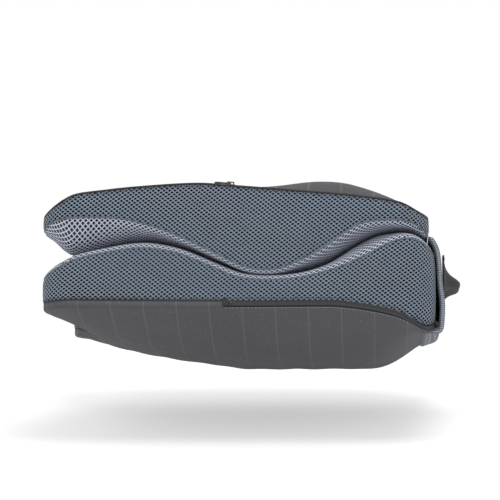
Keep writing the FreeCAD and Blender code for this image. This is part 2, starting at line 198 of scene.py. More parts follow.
def gusset(name, plan, bottom, top, bulge, tuck=0.005):
    """The band round a pad between its two seams, bulging by bulge half way up."""
    outline, outward, seam = plan
    rows, flats = [], []
    lowest = bottom.min()

    def row(z, out, cut_z):
        at = outline + outward * (np.asarray(out)[:, None] if np.ndim(out) else out)
        rows.append(np.column_stack([at, z]))
        cut_z = np.append(cut_z, cut_z[0])
        flats.append(np.column_stack([seam, cut_z - lowest]))

    row(bottom - 0.0004, -tuck, bottom - tuck)
    for share in np.linspace(0, 1, 13):
        z = bottom + (top - bottom) * share
        round_out = 1 - (2 * share - 1) ** 4
        row(z, bulge * round_out, z)
    row(top + 0.0004, -tuck, top + tuck)
    piece = sheet(name, np.array(rows), np.array(flats))
    free = np.zeros((15, len(outline)))
    free[3:12] = 1.0
    free[2] = free[12] = 0.4
    return piece, free.ravel()


CELL_LENGTH = 0.0055
CELL_HEIGHT = 0.0041
HOLE_SHARE = 0.72
HOLE_DEPTH = 0.0018
SLANT = 0.16
LAP = 0.015


def add(tree, kind, inputs=None, **settings):
    """One node, with its settings and its inputs, which are linked to sockets or set to values."""
    node = tree.nodes.new(kind)
    for key, value in settings.items():
        setattr(node, key, value)
    for key, value in (inputs or {}).items():
        if isinstance(value, bpy.types.NodeSocket):
            tree.links.new(value, node.inputs[key])
        else:
            node.inputs[key].default_value = value
    return node


def calc(tree, operation, first, second):
    """One arithmetic step on two numbers, each a socket or a value."""
    return add(tree, "ShaderNodeMath", {0: first, 1: second}, operation=operation).outputs[0]


def new_tree(name, sockets):
    """An empty geometry tree with named inputs and one geometry output."""
    tree = bpy.data.node_groups.new(name, "GeometryNodeTree")
    tree.interface.new_socket("Geometry", in_out="OUTPUT", socket_type="NodeSocketGeometry")
    tree.interface.new_socket("Geometry", in_out="INPUT", socket_type="NodeSocketGeometry")
    for label, kind in sockets:
        tree.interface.new_socket(label, in_out="INPUT", socket_type="NodeSocket" + kind)
    return tree


def run_tree(piece, tree, values, name=None):
    """Runs a geometry tree on a piece with these input values and keeps the result as a plain mesh."""
    modifier = piece.modifiers.new(tree.name, "NODES")
    modifier.node_group = tree
    for item in tree.interface.items_tree:
        if item.in_out == "INPUT" and item.name in values:
            modifier[item.identifier] = values[item.name]
    graph = bpy.context.evaluated_depsgraph_get()
    result = bpy.data.meshes.new_from_object(piece.evaluated_get(graph))
    piece.modifiers.remove(modifier)
    made = bpy.data.objects.new(name or piece.name, result)
    bpy.context.scene.collection.objects.link(made)
    return made


def spacer_tree():
    """A flat lattice of holes, kept where it falls on the sheet and wrapped onto it."""
    tree = new_tree("spacer mesh", [
        ("Middle", "Vector"), ("Cells", "Int"), ("Cell Length", "Float"), ("Cell Height", "Float"),
        ("Slant", "Float"), ("From", "Float"), ("To", "Float"), ("Hole", "Float"), ("Depth", "Float"),
        ("Strands", "Material"), ("Inside", "Material")])
    inputs = add(tree, "NodeGroupInput").outputs
    cut = add(tree, "GeometryNodeInputNamedAttribute", {"Name": "cut"},
              data_type="FLOAT_VECTOR").outputs[0]
    facing = add(tree, "GeometryNodeInputNamedAttribute", {"Name": "facing"},
                 data_type="FLOAT_VECTOR").outputs[0]
    place = add(tree, "GeometryNodeInputPosition").outputs[0]
    last = calc(tree, "SUBTRACT", inputs["Cells"], 1.0)
    cells = inputs["Cells"]
    grid = add(tree, "GeometryNodeMeshGrid", {"Size X": last, "Size Y": last, "Vertices X": cells,
                                              "Vertices Y": cells}).outputs["Mesh"]
    parts = add(tree, "ShaderNodeSeparateXYZ", {0: place}).outputs
    across = calc(tree, "SUBTRACT", parts[0], parts[1])
    upward = calc(tree, "ADD", parts[0], parts[1])
    half_length = calc(tree, "MULTIPLY", inputs["Cell Length"], 0.5)
    half_height = calc(tree, "MULTIPLY", inputs["Cell Height"], 0.5)
    u = calc(tree, "MULTIPLY", across, half_length)
    v = calc(tree, "MULTIPLY", upward, half_height)
    lean = calc(tree, "MULTIPLY", v, inputs["Slant"])
    leaned = calc(tree, "ADD", u, lean)
    skewed = add(tree, "ShaderNodeCombineXYZ", {0: leaned, 1: v}).outputs[0]
    centred = add(tree, "ShaderNodeVectorMath", {0: skewed, 1: inputs["Middle"]},
                  operation="ADD").outputs[0]
    lattice = add(tree, "GeometryNodeSetPosition", {"Geometry": grid, "Position": centred}).outputs[0]

    def sample(value, name):
        return add(tree, "GeometryNodeSampleUVSurface",
                   {"Mesh": inputs["Geometry"], "Value": value, "UV Map": cut, "Sample UV": place},
                   data_type="FLOAT_VECTOR").outputs[name]

    off = add(tree, "FunctionNodeBooleanMath", {0: sample(place, "Is Valid")},
              operation="NOT").outputs[0]
    lattice = add(tree, "GeometryNodeDeleteGeometry", {"Geometry": lattice, "Selection": off},
                  domain="POINT").outputs[0]
    before = add(tree, "FunctionNodeCompare", {0: parts[0], 1: inputs["From"]},
                 operation="LESS_THAN").outputs[0]
    after = add(tree, "FunctionNodeCompare", {0: parts[0], 1: inputs["To"]},
                operation="GREATER_EQUAL").outputs[0]
    spare = add(tree, "FunctionNodeBooleanMath", {0: before, 1: after}, operation="OR").outputs[0]
    lattice = add(tree, "GeometryNodeDeleteGeometry", {"Geometry": lattice, "Selection": spare},
                  domain="FACE").outputs[0]
    rim = add(tree, "GeometryNodeExtrudeMesh",
              {"Mesh": lattice, "Offset Scale": 0.0, "Individual": True})
    hole = add(tree, "GeometryNodeScaleElements",
               {"Geometry": rim.outputs["Mesh"], "Selection": rim.outputs["Top"],
                "Scale": inputs["Hole"]})
    down = calc(tree, "MULTIPLY", inputs["Depth"], -1.0)
    well = add(tree, "GeometryNodeExtrudeMesh",
               {"Mesh": hole.outputs[0], "Selection": rim.outputs["Top"],
                "Offset Scale": down, "Individual": True})
    floor = add(tree, "GeometryNodeScaleElements", {"Geometry": well.outputs["Mesh"],
                                                    "Selection": well.outputs["Top"], "Scale": 0.85})
    strands = add(tree, "GeometryNodeSetMaterial", {"Geometry": floor.outputs[0],
                                                    "Material": inputs["Strands"]}).outputs[0]
    # The walls and floors of the holes take the painted hole shade.
    sunk = add(tree, "FunctionNodeBooleanMath", {0: well.outputs["Top"], 1: well.outputs["Side"]},
               operation="OR").outputs[0]
    both = add(tree, "GeometryNodeSetMaterial", {"Geometry": strands, "Selection": sunk,
                                                 "Material": inputs["Inside"]}).outputs[0]
    depth = add(tree, "ShaderNodeSeparateXYZ", {0: place}).outputs[2]
    out = add(tree, "ShaderNodeVectorMath", {0: sample(facing, "Value"), "Scale": depth},
              operation="SCALE").outputs[0]
    final = add(tree, "ShaderNodeVectorMath", {0: sample(place, "Value"), 1: out},
                operation="ADD").outputs[0]
    wrapped = add(tree, "GeometryNodeSetPosition", {"Geometry": both, "Position": final}).outputs[0]
    smooth = add(tree, "GeometryNodeSetShadeSmooth",
                 {"Geometry": wrapped, "Shade Smooth": True}).outputs[0]
    real = add(tree, "GeometryNodeRealizeInstances", {"Geometry": smooth}).outputs[0]
    add(tree, "NodeGroupOutput", {0: real})
    return tree


spacer_mesh = spacer_tree()


def lap_ends(mesh, length):
    """Repeats the faces near both ends of a band's cut beyond the other end, so that it has no gap."""
    cut = np.empty(len(mesh.loops) * 2, dtype=np.float32)
    mesh.uv_layers["cut"].data.foreach_get("uv", cut)
    cut = cut.reshape(-1, 2)
    faces = [tuple(p.vertices) for p in mesh.polygons]
    corners = [cut[list(p.loop_indices)] for p in mesh.polygons]
    for face, corner in list(zip(faces, corners)):
        shift = 0
        if corner[:, 0].max() < LAP:
            shift = length
        elif corner[:, 0].min() > length - LAP:
            shift = -length
        if shift:
            faces.append(face)
            corners.append(corner + (shift, 0))
    lapped = bpy.data.meshes.new(mesh.name + "_lapped")
    lapped.from_pydata([tuple(v.co) for v in mesh.vertices], [], faces)
    lapped_cut = np.concatenate(corners).astype(np.float32).ravel()
    lapped.uv_layers.new(name="cut").data.foreach_set("uv", lapped_cut)
    return lapped


def knit_over(piece, strands, inside, around=None):
    """Replaces a sheet by spacer mesh of the same shape. inside is the painted shade for its holes'
    walls and floors. around is the length of a band that closes.
    """
    facing = np.empty(len(piece.data.vertices) * 3, dtype=np.float32)
    piece.data.vertex_normals.foreach_get("vector", facing)
    cell_length = CELL_LENGTH
    if around is not None:
        cell_length = around / round(around / CELL_LENGTH)
        piece.data = lap_ends(piece.data, around)
    mesh = piece.data
    mesh.attributes.new("facing", "FLOAT_VECTOR", "POINT").data.foreach_set("vector", facing)
    cut = np.empty(len(mesh.loops) * 2, dtype=np.float32)
    mesh.uv_layers["cut"].data.foreach_get("uv", cut)
    cut = cut.reshape(-1, 2)
    low, high = cut.min(0), cut.max(0)
    spans = (high - low) / (cell_length, CELL_HEIGHT)
    middle = (low + high) / 2
    cells = int(spans.sum() + SLANT * (high[1] - low[1]) / cell_length) + 3
    values = {"Middle": [float(middle[0]), float(middle[1]), 0.0], "Cells": cells, "Slant": SLANT,
              "Cell Length": cell_length, "Cell Height": CELL_HEIGHT,
              "Hole": HOLE_SHARE, "Depth": HOLE_DEPTH,
              "From": -1.0 if around is None else 0.0, "To": 10.0 if around is None else around,
              "Strands": strands, "Inside": inside}
    name = piece.name
    piece.name = name + "_sheet"
    made = run_tree(piece, spacer_mesh, values, name)
    bpy.data.objects.remove(piece)
    return made


def finish_cloth(name, colour, roughness=0.85, sheen=0.0):
    """A cloth finish with its own colour, and its tree and shader for the weave to be added to."""
    material = bpy.data.materials.new(name)
    material.use_nodes = True
    shader = material.node_tree.nodes["Principled BSDF"]
    shader.inputs["Base Color"].default_value = (*colour, 1)
    shader.inputs["Roughness"].default_value = roughness
    shader.inputs["Sheen Weight"].default_value = sheen
    shader.inputs["Specular IOR Level"].default_value = 0.25
    return material, material.node_tree, shader


def vary(tree, shader, colour, scale, amount):
    """The colour drifts a little lighter and darker at random: uneven dyeing on most cloths, and painted
    shading on the spacer mesh strands.
    """
    place = add(tree, "ShaderNodeTexCoord").outputs["Object"]
    noise = add(tree, "ShaderNodeTexNoise", {"Vector": place, "Scale": scale, "Detail": 3.0}).outputs[0]
    ramp = add(tree, "ShaderNodeMix", {0: noise, 6: (*[c * (1 - amount) for c in colour], 1),
                                       7: (*[min(c * (1 + amount), 1) for c in colour], 1)},
               data_type="RGBA")
    tree.links.new(ramp.outputs[2], shader.inputs["Base Color"])
    return place, ramp.outputs[2]


def strand_cloth(name, colour):
    """Filament yarn of the spacer mesh: slightly glossy threads with fine twist."""
    material, tree, shader = finish_cloth(name, colour, 0.6, 0.15)
    # The broad drift from vary here is painted shading: lighter and darker patches across the strands.
    place, _ = vary(tree, shader, colour, 90.0, 0.12)
    fine = add(tree, "ShaderNodeTexNoise", {"Vector": place, "Scale": 2600.0, "Detail": 2.0}).outputs[0]
    bump = add(tree, "ShaderNodeBump", {"Strength": 0.35, "Distance": 0.0004, "Height": fine})
    tree.links.new(bump.outputs[0], shader.inputs["Normal"])
    return material


def painted_hole_shade(name, colour):
    """Painted shade for the holes of the spacer mesh: a near-black colour on their walls and floors that
    stands in for the shadow between the mesh's two layers.
    """
    material, tree, shader = finish_cloth(name, colour, 1.0)
    vary(tree, shader, colour, 1500.0, 0.5)
    return material


def own(piece, body, nodes, material=None):
    """Everything a finished piece says about itself. A piece that bends has no body of its own."""
    if material is not None:
        piece.data.materials.clear()
        piece.data.materials.append(material)
    if body is not None:
        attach(piece, body)
    if nodes:
        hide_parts(*nodes)


SEAM_ALLOWANCE = 0.001
BULGE = 0.0015
PRESSURE = 6.0
MOST_BULGE = 0.0035
slate_strands = strand_cloth("slate spacer mesh", (0.165, 0.207, 0.258))
# Near-black painted shade for the slate mesh's holes, standing in for the shadow inside the mesh.
slate_hole_shade = painted_hole_shade("slate mesh painted hole shade", (0.020, 0.021, 0.025))

lower_plan = cut_outline("lower_side_gusset")
upper_plan = cut_outline("upper_side_gusset")
lower_bottom, lower_top = seam_heights("lower_side_gusset", lower_plan)
upper_bottom, upper_top = seam_heights("upper_side_gusset", upper_plan)

piece, free = gusset("lower_gusset_mesh", lower_plan, lower_bottom, lower_top + SEAM_ALLOWANCE, BULGE)
blow_out(piece, free, PRESSURE, MOST_BULGE)
own(knit_over(piece, slate_strands, slate_hole_shade, float(lower_plan[2][-1])), "lower",
    ["lower_side_gusset", "lower_core_liner"])
piece, free = gusset("upper_gusset_mesh", upper_plan, upper_bottom - SEAM_ALLOWANCE, upper_top, BULGE)
blow_out(piece, free, PRESSURE, MOST_BULGE)
own(knit_over(piece, slate_strands, slate_hole_shade, float(upper_plan[2][-1])), "upper",
    ["upper_side_gusset", "upper_core_liner"])


# --------------------------------------------------------------------
# Face panels: the lavender-grey spacer mesh on the two sides that lie against each other when folded.
# Each is one piece of cloth over a carved foam face, rolled over the edge and sewn to the gusset.
# --------------------------------------------------------------------

def height_map(nodes, side):
    """A function giving the height of the named pieces' top (side 1) or underside (side -1)."""
    vertices, faces = [], []
    for name in nodes:
        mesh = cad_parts[name].data
        first = len(vertices)
        vertices += [v.co.copy() for v in mesh.vertices]
        faces += [[first + i for i in p.vertices] for p in mesh.polygons]
    tree = BVHTree.FromPolygons(vertices, faces)
    step = 0.004
    xs = np.arange(-0.240, 0.176, step)
    ys = np.arange(-0.180, 0.1801, step)
    grid = np.full((len(xs), len(ys)), np.nan)
    for i, x in enumerate(xs):
        for j, y in enumerate(ys):
            hit = tree.ray_cast(Vector((x, y, side * 1.0)), Vector((0, 0, -side)))[0]
            if hit is not None:
                grid[i, j] = hit.z
    while np.isnan(grid).any():
        padded = np.pad(grid, 1, constant_values=np.nan)
        around = np.stack([padded[:-2, 1:-1], padded[2:, 1:-1], padded[1:-1, :-2], padded[1:-1, 2:]])
        known = ~np.isnan(around)
        mean = np.where(known, around, 0).sum(0) / np.maximum(known.sum(0), 1)
        mean[known.sum(0) == 0] = np.nan
        grid = np.where(np.isnan(grid), mean, grid)
    for axis in (0, 1):
        edge = np.pad(grid, [(1, 1) if a == axis else (0, 0) for a in (0, 1)], mode="edge")
        take = [np.take(edge, range(k, k + grid.shape[axis]), axis=axis) for k in (0, 1, 2)]
        grid = (take[0] + 2 * take[1] + take[2]) / 4

    def height(x, y):
        u = np.clip((x - xs[0]) / step, 0, len(xs) - 1.001)
        v = np.clip((y - ys[0]) / step, 0, len(ys) - 1.001)
        i, j = u.astype(int), v.astype(int)
        u, v = u - i, v - j
        return ((grid[i, j] * (1 - u) + grid[i + 1, j] * u) * (1 - v)
                + (grid[i, j + 1] * (1 - u) + grid[i + 1, j + 1] * u) * v)

    return height


PULLED = 0.025


def panel(name, plan, height, side, rim, dip=None, meet=None):
    """A face or outer panel: rows of points from its rolled edge to the middle.

    side is 1 for a panel that faces up. rim is the radius of the roll at its seam. dip lowers the
    surface as a function of how far in and where, for a ledge that something else lies in. meet is the
    height of the gusset's edge all round, which the panel's own edge is pulled to.
    """
    outline, outward, _ = plan
    middle = np.array([-0.03, 0.0])
    tuck = 0.005
    rows, flats = [], []
    pull = 0.0
    if meet is not None:
        pull = meet - (height(outline[:, 0], outline[:, 1]) - side * rim)

    def row(inset, drop, cut_inset):
        at = outline - outward * inset
        z = height(at[:, 0], at[:, 1]) - side * drop + pull * (1 - min(inset / PULLED, 1)) ** 2
        if dip is not None:
            z = z - side * dip(at, inset)
        rows.append(np.column_stack([at, z]))
        flats.append((outline - outward * cut_inset) * (1, side))

    quarter = rim * math.pi / 2
    row(tuck, rim + 0.0005, rim - quarter - tuck)
    for i in range(5):
        angle = math.pi / 2 * (1 - i / 4)
        row(rim * (1 - math.sin(angle)), rim * (1 - math.cos(angle)), rim - rim * angle)
    for inset in (rim + 0.004, 0.014, 0.019, 0.025):
        row(inset, 0, inset)
    inner = outline - outward * 0.025
    for share in np.linspace(1, 0, 30)[1:]:
        at = middle + (inner - middle) * max(share, 1e-6)
        z = height(at[:, 0], at[:, 1])
        if dip is not None:
            z = z - side * dip(at, 0.025)
        rows.append(np.column_stack([at, z]))
        flats.append(at * (1, side))
    if side < 0:
        rows.reverse()
        flats.reverse()
    piece = sheet(name, np.array(rows), close_cut(np.array(flats)))
    free = np.zeros((len(rows), len(outline)))
    order = range(len(rows)) if side > 0 else range(len(rows) - 1, -1, -1)
    for place, r in enumerate(order):
        free[r] = min(max((place - 4) / 4, 0), 1)
    return piece, free.ravel()


def merge_pole(piece):
    """Joins the points that meet at a panel's middle."""
    work = bmesh.new()
    work.from_mesh(piece.data)
    bmesh.ops.remove_doubles(work, verts=work.verts, dist=0.00002)
    work.to_mesh(piece.data)
    work.free()
    piece.data.shade_smooth()


FACE_RIM = 0.005
lavender_strands = strand_cloth("lavender spacer mesh", (0.43, 0.46, 0.555))
# Dark painted shade for the lavender mesh's holes, standing in for the shadow inside the mesh.
lavender_hole_shade = painted_hole_shade("lavender mesh painted hole shade", (0.045, 0.05, 0.062))

piece, _ = panel("lower_face_mesh", lower_plan, height_map(["lower_face_panel"], 1), 1, FACE_RIM,
                 meet=lower_top + SEAM_ALLOWANCE)
merge_pole(piece)
own(knit_over(piece, lavender_strands, lavender_hole_shade), "lower",
    ["lower_face_panel", "lower_foam_core"])
piece, _ = panel("upper_face_mesh", upper_plan, height_map(["upper_face_panel"], -1), -1, FACE_RIM,
                 meet=upper_bottom - SEAM_ALLOWANCE)
merge_pole(piece)
own(knit_over(piece, lavender_strands, lavender_hole_shade), "upper",
    ["upper_face_panel", "upper_foam_core"])


# --------------------------------------------------------------------
# Outer covers: charcoal woven cloth with faint pinstripes, over the belly of the lower pad and the crown
# of the upper one. Each zips to its gusset round the hinge end and is sewn to it round the free end,
# where the lower one is turned up in a narrow band. The crown lies inside a flat ledge for the zip.
# --------------------------------------------------------------------

def charcoal_cloth(name, colour):
    """Charcoal woven cover cloth: a fine plain weave, faint pinstripes across it, and some lint."""
    material, tree, shader = finish_cloth(name, colour, 0.85, 0.02)
    place, base = vary(tree, shader, colour, 14.0, 0.10)
    parts = add(tree, "ShaderNodeSeparateXYZ", {0: place}).outputs
    stripe = calc(tree, "PINGPONG", parts[0], STRIPE_PITCH / 2)
    line = add(tree, "ShaderNodeMapRange", {0: stripe, 1: 0.0002, 2: 0.0010, 3: 1.0, 4: 0.0}).outputs[0]
    broken = add(tree, "ShaderNodeTexNoise", {"Vector": place, "Scale": 420.0, "Detail": 2.0}).outputs[0]
    faint = calc(tree, "MULTIPLY", line, broken)
    striped = add(tree, "ShaderNodeMix", {0: faint, 6: base, 7: (0.125, 0.125, 0.138, 1)},
                  data_type="RGBA").outputs[2]
    specks = add(tree, "ShaderNodeTexNoise", {"Vector": place, "Scale": 650.0, "Detail": 1.0}).outputs[0]
    lint = add(tree, "ShaderNodeMapRange", {0: specks, 1: 0.71, 2: 0.76, 3: 0.0, 4: 0.55}).outputs[0]
    dusty = add(tree, "ShaderNodeMix", {0: lint, 6: striped, 7: (0.30, 0.30, 0.31, 1)}, data_type="RGBA")
    tree.links.new(dusty.outputs[2], shader.inputs["Base Color"])
    waves = []
    for axis in ("X", "Y"):
        waves.append(add(tree, "ShaderNodeTexWave", {"Vector": place, "Scale": 330.0}, wave_type="BANDS",
                         bands_direction=axis).outputs[1])
    weave = calc(tree, "MULTIPLY", waves[0], waves[1])
    bump = add(tree, "ShaderNodeBump", {"Strength": 0.45, "Distance": 0.0004, "Height": weave})
    tree.links.new(bump.outputs[0], shader.inputs["Normal"])
    return material


STRIPE_PITCH = 0.033
BASE_RIM = 0.0022
TOP_RIM = 0.0012
GUSSET_START = 0.0088
LEDGE = 0.0094
ZIP_DIP = 0.0016
RIPPLE = 0.0005
BAND_TURN = ((0.0012, 0.004), (0.0018, 0.0), (0.0050, -0.0003), (0.0085, 0.0), (0.0096, 0.004))
charcoal = charcoal_cloth("charcoal weave", (0.070, 0.070, 0.078))
# The crown is the same charcoal cloth; this darker copy is painted shade for a top seen at a grazing
# angle from below.
shaded_crown_charcoal = charcoal_cloth("charcoal weave with painted shade", (0.040, 0.040, 0.045))
LOWER_ZIP_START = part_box("lower_zip_tape_base")[0][0]
UPPER_ZIP_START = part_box("upper_zip_tape_top")[0][0]
base_line = lower_bottom - GUSSET_START
ledge_line = upper_top + SEAM_ALLOWANCE


def zip_ledge(at, inset):
    return np.where(at[:, 0] > UPPER_ZIP_START, ZIP_DIP, 0.0) * (1.0 if inset < LEDGE else 0.0)


def slack(at, inset):
    """Shallow, uneven ripples in the cover cloth, which is held only at its edge."""
    wave = np.sin(150 * at[:, 0] + 3 * np.sin(40 * at[:, 1])) * np.sin(62 * at[:, 1] + 25 * at[:, 0] + 1)
    return RIPPLE * wave * min(inset / 0.006, 1)


base_heights = height_map(["lower_base_panel"], -1)
piece, free = panel("lower_base_cloth", lower_plan, base_heights, -1, BASE_RIM, slack)
blow_out(piece, free, 2.0, 0.0006)
own(piece, "lower", ["lower_base_panel"], charcoal)
top_nodes = ["upper_top_panel", "upper_zip_tape_gusset", "upper_zip_tape_top"]
piece, free = panel("upper_top_cloth", upper_plan, height_map(top_nodes, 1), 1, TOP_RIM, zip_ledge)
blow_out(piece, free, 2.0, 0.0012)
own(piece, "upper", ["upper_top_panel"], shaded_crown_charcoal)


def turned_up_band():
    """The base cloth's turned-up edge round the free end, and the backing behind the zip."""
    outline, outward, seam = lower_plan
    behind = np.where(outline[:, 0] > LOWER_ZIP_START, -0.0030, 0.0003)
    rows, flats = [], []
    for rise, inward in BAND_TURN:
        at = outline + outward * (behind - inward)[:, None]
        rows.append(np.column_stack([at, base_line + rise]))
        flats.append(np.column_stack([seam, np.full(len(seam), rise)]))
    return sheet("lower_band", np.array(rows), np.array(flats))


def hard_finish(name, colour, metallic, roughness):
    material, tree, shader = finish_cloth(name, colour, roughness)
    shader.inputs["Metallic"].default_value = metallic
    shader.inputs["Specular IOR Level"].default_value = 0.5
    place = add(tree, "ShaderNodeTexCoord").outputs["Object"]
    wear = add(tree, "ShaderNodeTexNoise", {"Vector": place, "Scale": 700.0, "Detail": 4.0}).outputs[0]
    rough = add(tree, "ShaderNodeMapRange", {0: wear, 3: roughness * 0.7, 4: roughness * 1.3}).outputs[0]
    tree.links.new(rough, shader.inputs["Roughness"])
    return material


def ribbed_tape(name, colour, scale, axis="Z", roughness=0.8):
    """Narrow woven tape with fine ribs."""
    material, tree, shader = finish_cloth(name, colour, roughness, 0.03)
    place, _ = vary(tree, shader, colour, 120.0, 0.15)
    rib = add(tree, "ShaderNodeTexWave", {"Vector": place, "Scale": scale, "Distortion": 0.4},
              wave_type="BANDS", bands_direction=axis).outputs[1]
    bump = add(tree, "ShaderNodeBump", {"Strength": 0.5, "Distance": 0.0004, "Height": rib})
    tree.links.new(bump.outputs[0], shader.inputs["Normal"])
    return material


binding = ribbed_tape("dark binding", (0.03, 0.03, 0.033), 300.0, "X")
own(turned_up_band(), "lower", [], charcoal)


# --------------------------------------------------------------------
# Seams and stitching: the gussets are sewn to the faces with a thin corded seam of their own mesh,
# and to the outer covers with a thin dark one. Rows of dark thread hold the zip tapes and the covers'
# edges.
# --------------------------------------------------------------------

def seam_path(plan, heights, out, where=None):
    """A row of joined points along a seam, moved outward by out, and kept where asked."""
    outline, outward, _ = plan
    points = np.column_stack([outline + outward * out, heights])
    if where is None:
        return points, True
    kept = where(outline[:, 0])
    if kept[0] and kept[-1]:
        first = int(np.flatnonzero(~kept)[-1]) + 1
        points, kept = np.roll(points, -first, axis=0), np.roll(kept, -first)
    return points[kept], False


def path_mesh(name, points, closed):
    count = len(points)
    edges = [(i, (i + 1) % count) for i in range(count if closed else count - 1)]
    mesh = bpy.data.meshes.new(name + "_path")
    mesh.from_pydata([tuple(p) for p in points], edges, [])
    piece = bpy.data.objects.new(name + "_path", mesh)
    bpy.context.scene.collection.objects.link(piece)
    return piece


def cord_tree():
    """A round cord of the given radius along the edges of a mesh."""
    tree = new_tree("seam cord", [("Radius", "Float"), ("Finish", "Material")])
    inputs = add(tree, "NodeGroupInput").outputs
    path = add(tree, "GeometryNodeMeshToCurve", {"Mesh": inputs["Geometry"]}).outputs[0]
    section = add(tree, "GeometryNodeCurvePrimitiveCircle",
                  {"Resolution": 8, "Radius": inputs["Radius"]}).outputs[0]
    cord = add(tree, "GeometryNodeCurveToMesh", {"Curve": path, "Profile Curve": section,
                                                 "Fill Caps": True}).outputs[0]
    smooth = add(tree, "GeometryNodeSetShadeSmooth", {"Geometry": cord, "Shade Smooth": True}).outputs[0]
    finished = add(tree, "GeometryNodeSetMaterial",
                   {"Geometry": smooth, "Material": inputs["Finish"]}).outputs[0]
    real = add(tree, "GeometryNodeRealizeInstances", {"Geometry": finished}).outputs[0]
    add(tree, "NodeGroupOutput", {0: real})
    return tree


def row_tree():
    """A row of small rounded parts, such as stitches or zip teeth, along the edges of a mesh."""
    tree = new_tree("row of parts", [("Count", "Int"), ("Size", "Vector"), ("Finish", "Material")])
    inputs = add(tree, "NodeGroupInput").outputs
    path = add(tree, "GeometryNodeMeshToCurve", {"Mesh": inputs["Geometry"]}).outputs[0]
    level = add(tree, "GeometryNodeSetCurveNormal", {"Curve": path}, mode="Z_UP").outputs[0]
    points = add(tree, "GeometryNodeCurveToPoints", {"Curve": level, "Count": inputs["Count"]}).outputs
    ball = add(tree, "GeometryNodeMeshIcoSphere", {"Radius": 0.5, "Subdivisions": 2}).outputs[0]
    part = add(tree, "GeometryNodeTransform", {"Geometry": ball, "Scale": inputs["Size"]}).outputs[0]
    placed = add(tree, "GeometryNodeInstanceOnPoints", {"Points": points["Points"], "Instance": part,
                                                        "Rotation": points["Rotation"]}).outputs[0]
    real = add(tree, "GeometryNodeRealizeInstances", {"Geometry": placed}).outputs[0]
    smooth = add(tree, "GeometryNodeSetShadeSmooth", {"Geometry": real, "Shade Smooth": True}).outputs[0]
    finished = add(tree, "GeometryNodeSetMaterial",
                   {"Geometry": smooth, "Material": inputs["Finish"]}).outputs[0]
    add(tree, "NodeGroupOutput", {0: finished})
    return tree


seam_cord = cord_tree()
part_row = row_tree()


def sew_cord(name, body, nodes, path, radius, material):
    """A corded seam along a path."""
    guide = path_mesh(name, *path)
    made = run_tree(guide, seam_cord, {"Radius": radius, "Finish": material}, name)
    bpy.data.objects.remove(guide)
    own(made, body, nodes)


def lay_row(name, body, path, pitch, size, material):
    """Parts of one size (outward, upward, along) at an even pitch along a path."""
    points = path[0]
    length = float(np.linalg.norm(np.diff(points, axis=0), axis=1).sum())
    guide = path_mesh(name, *path)
    values = {"Count": int(length / pitch), "Size": list(size), "Finish": material}
    made = run_tree(guide, part_row, values, name)
    bpy.data.objects.remove(guide)
    own(made, body, [])


def at_zip(start):
    return lambda x: x > start


def at_free_end(start):
    return lambda x: x < start


seam_slate = ribbed_tape("slate seam cord", (0.10, 0.125, 0.15), 400.0, "X")
thread = hard_finish("dark thread", (0.035, 0.035, 0.04), 0.0, 0.6)
pale_thread = hard_finish("grey thread", (0.13, 0.13, 0.14), 0.0, 0.6)
STITCH = (0.0006, 0.0008, 0.0026)
STITCH_PITCH = 0.0037

sew_cord("lower_face_seam", "lower", ["lower_face_piping"],
         seam_path(lower_plan, lower_top + SEAM_ALLOWANCE, -0.0001), 0.0008, seam_slate)
sew_cord("upper_face_seam", "upper", ["upper_face_piping"],
         seam_path(upper_plan, upper_bottom - SEAM_ALLOWANCE, -0.0001), 0.0008, seam_slate)
sew_cord("lower_base_seam", "lower", ["lower_base_piping"],
         seam_path(lower_plan, lower_bottom, 0.0, at_free_end(LOWER_ZIP_START)), 0.0009, binding)
sew_cord("upper_top_seam", "upper", ["upper_top_piping"],
         seam_path(upper_plan, upper_top + 0.0002, 0.0), 0.0011, binding)
lay_row("lower_cover_stitches", "lower",
        seam_path(lower_plan, base_line + 0.0013, 0.0001, at_zip(LOWER_ZIP_START)), STITCH_PITCH, STITCH,
        pale_thread)
lay_row("lower_gusset_stitches", "lower",
        seam_path(lower_plan, lower_bottom + 0.0022, 0.0012), STITCH_PITCH, STITCH, thread)
lay_row("upper_gusset_stitches", "upper",
        seam_path(upper_plan, upper_top - 0.0024, 0.0012), STITCH_PITCH, STITCH, thread)


# --------------------------------------------------------------------
# Zips: dark woven tapes with a moulded nylon coil between them, round the hinge end of each cover, with
# end tabs, metal stops, and a gunmetal slider and pull. The coil's teeth are separate small parts.
# --------------------------------------------------------------------

def dress(names, material):
    """Gives CAD pieces that stay as they are a finish."""
    for name in names:
        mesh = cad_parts[name].data
        mesh.materials.clear()
        mesh.materials.append(material)


zip_tape = ribbed_tape("zip tape", (0.04, 0.04, 0.046), 420.0)
zip_metal = hard_finish("gunmetal zip", (0.075, 0.07, 0.068), 1.0, 0.42)
coil_plastic = hard_finish("coil plastic", (0.03, 0.03, 0.033), 0.0, 0.4)
TOOTH = (0.0010, 0.0030, 0.0010)
TOOTH_PITCH = 0.0014
COIL_HEIGHT = 0.0056
UPPER_COIL_INSET = 0.0066

dress(["lower_zip_tape_base", "lower_zip_tape_gusset", "upper_zip_tape_gusset", "upper_zip_tape_top"],
      zip_tape)
dress(["lower_zip_coil", "upper_zip_coil"], coil_plastic)
dress(["lower_zip_slider", "lower_zip_pull", "lower_zip_stops", "upper_zip_slider", "upper_zip_pull",
       "upper_zip_stops"], zip_metal)
dress(["lower_zip_end_tabs", "upper_zip_end_tabs", "handle_bartacks"], binding)
lay_row("lower_zip_teeth", "lower",
        seam_path(lower_plan, base_line + COIL_HEIGHT, -0.0010, at_zip(LOWER_ZIP_START)),
        TOOTH_PITCH, TOOTH, coil_plastic)
lay_row("upper_zip_teeth", "upper",
        seam_path(upper_plan, ledge_line - 0.0011, -UPPER_COIL_INSET, at_zip(UPPER_ZIP_START)),
        TOOTH_PITCH, (TOOTH[1], TOOTH[0], TOOTH[2]), coil_plastic)


